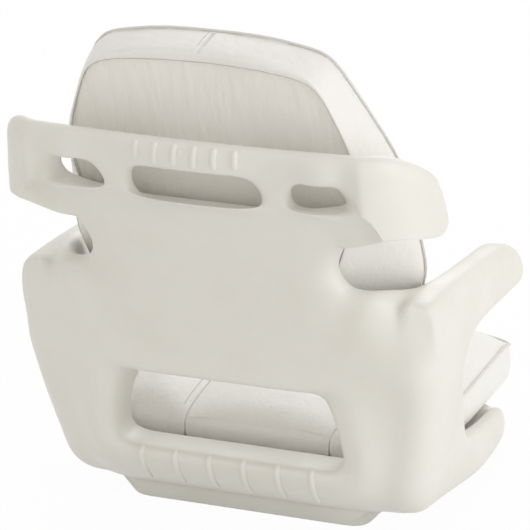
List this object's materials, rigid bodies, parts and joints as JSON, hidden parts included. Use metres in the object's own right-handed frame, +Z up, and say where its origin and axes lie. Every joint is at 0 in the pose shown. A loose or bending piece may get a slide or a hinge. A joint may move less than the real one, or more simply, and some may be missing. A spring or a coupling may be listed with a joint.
{
  "type": "boat bucket seat",
  "caption": "Boat helm bucket seat: one-piece moulded shell with arms, wrap-round grab rail with hand slots, and bolted-on upholstered seat and back cushions.",
  "frame": {"origin": "middle of the plinth's flat underside, where the seat stands on its pedestal or box", "axes": "+Z up, -Y is where the sitter looks, +X is the sitter's left"},
  "size_m": [0.6082, 0.7263, 0.7116],
  "materials": {
    "moulded_white_plastic": "satin, lightly pebbled",
    "brass": "turned",
    "stainless_steel": "bright",
    "washer_steel": "dull",
    "sealed_plywood": "sealed",
    "white_vinyl": "fine-grained vinyl",
    "grained_vinyl": "grained vinyl, a little darker",
    "piping_vinyl": "smooth vinyl over cord"
  },
  "bodies": {
    "root": {"shell": "moulded_white_plastic", "insert_rear_left": "brass", "insert_rear_right": "brass", "insert_front_left": "brass", "insert_front_right": "brass", "seat_screw_rear_left": "stainless_steel", "seat_screw_rear_right": "stainless_steel", "seat_screw_front_left": "stainless_steel", "seat_screw_front_right": "stainless_steel", "seat_washer_rear_left": "washer_steel", "seat_washer_rear_right": "washer_steel", "seat_washer_front_left": "washer_steel", "seat_washer_front_right": "washer_steel", "seat_board": "sealed_plywood", "back_board": "sealed_plywood", "seat_cushion_centre": "white_vinyl", "seat_bolster_left": "white_vinyl", "seat_bolster_right": "white_vinyl", "seat_cushion_piping": "piping_vinyl", "back_cushion_pad": "white_vinyl", "back_cushion_rear_panel": "grained_vinyl", "back_cushion_piping": "piping_vinyl"}
  },
  "joints": []
}
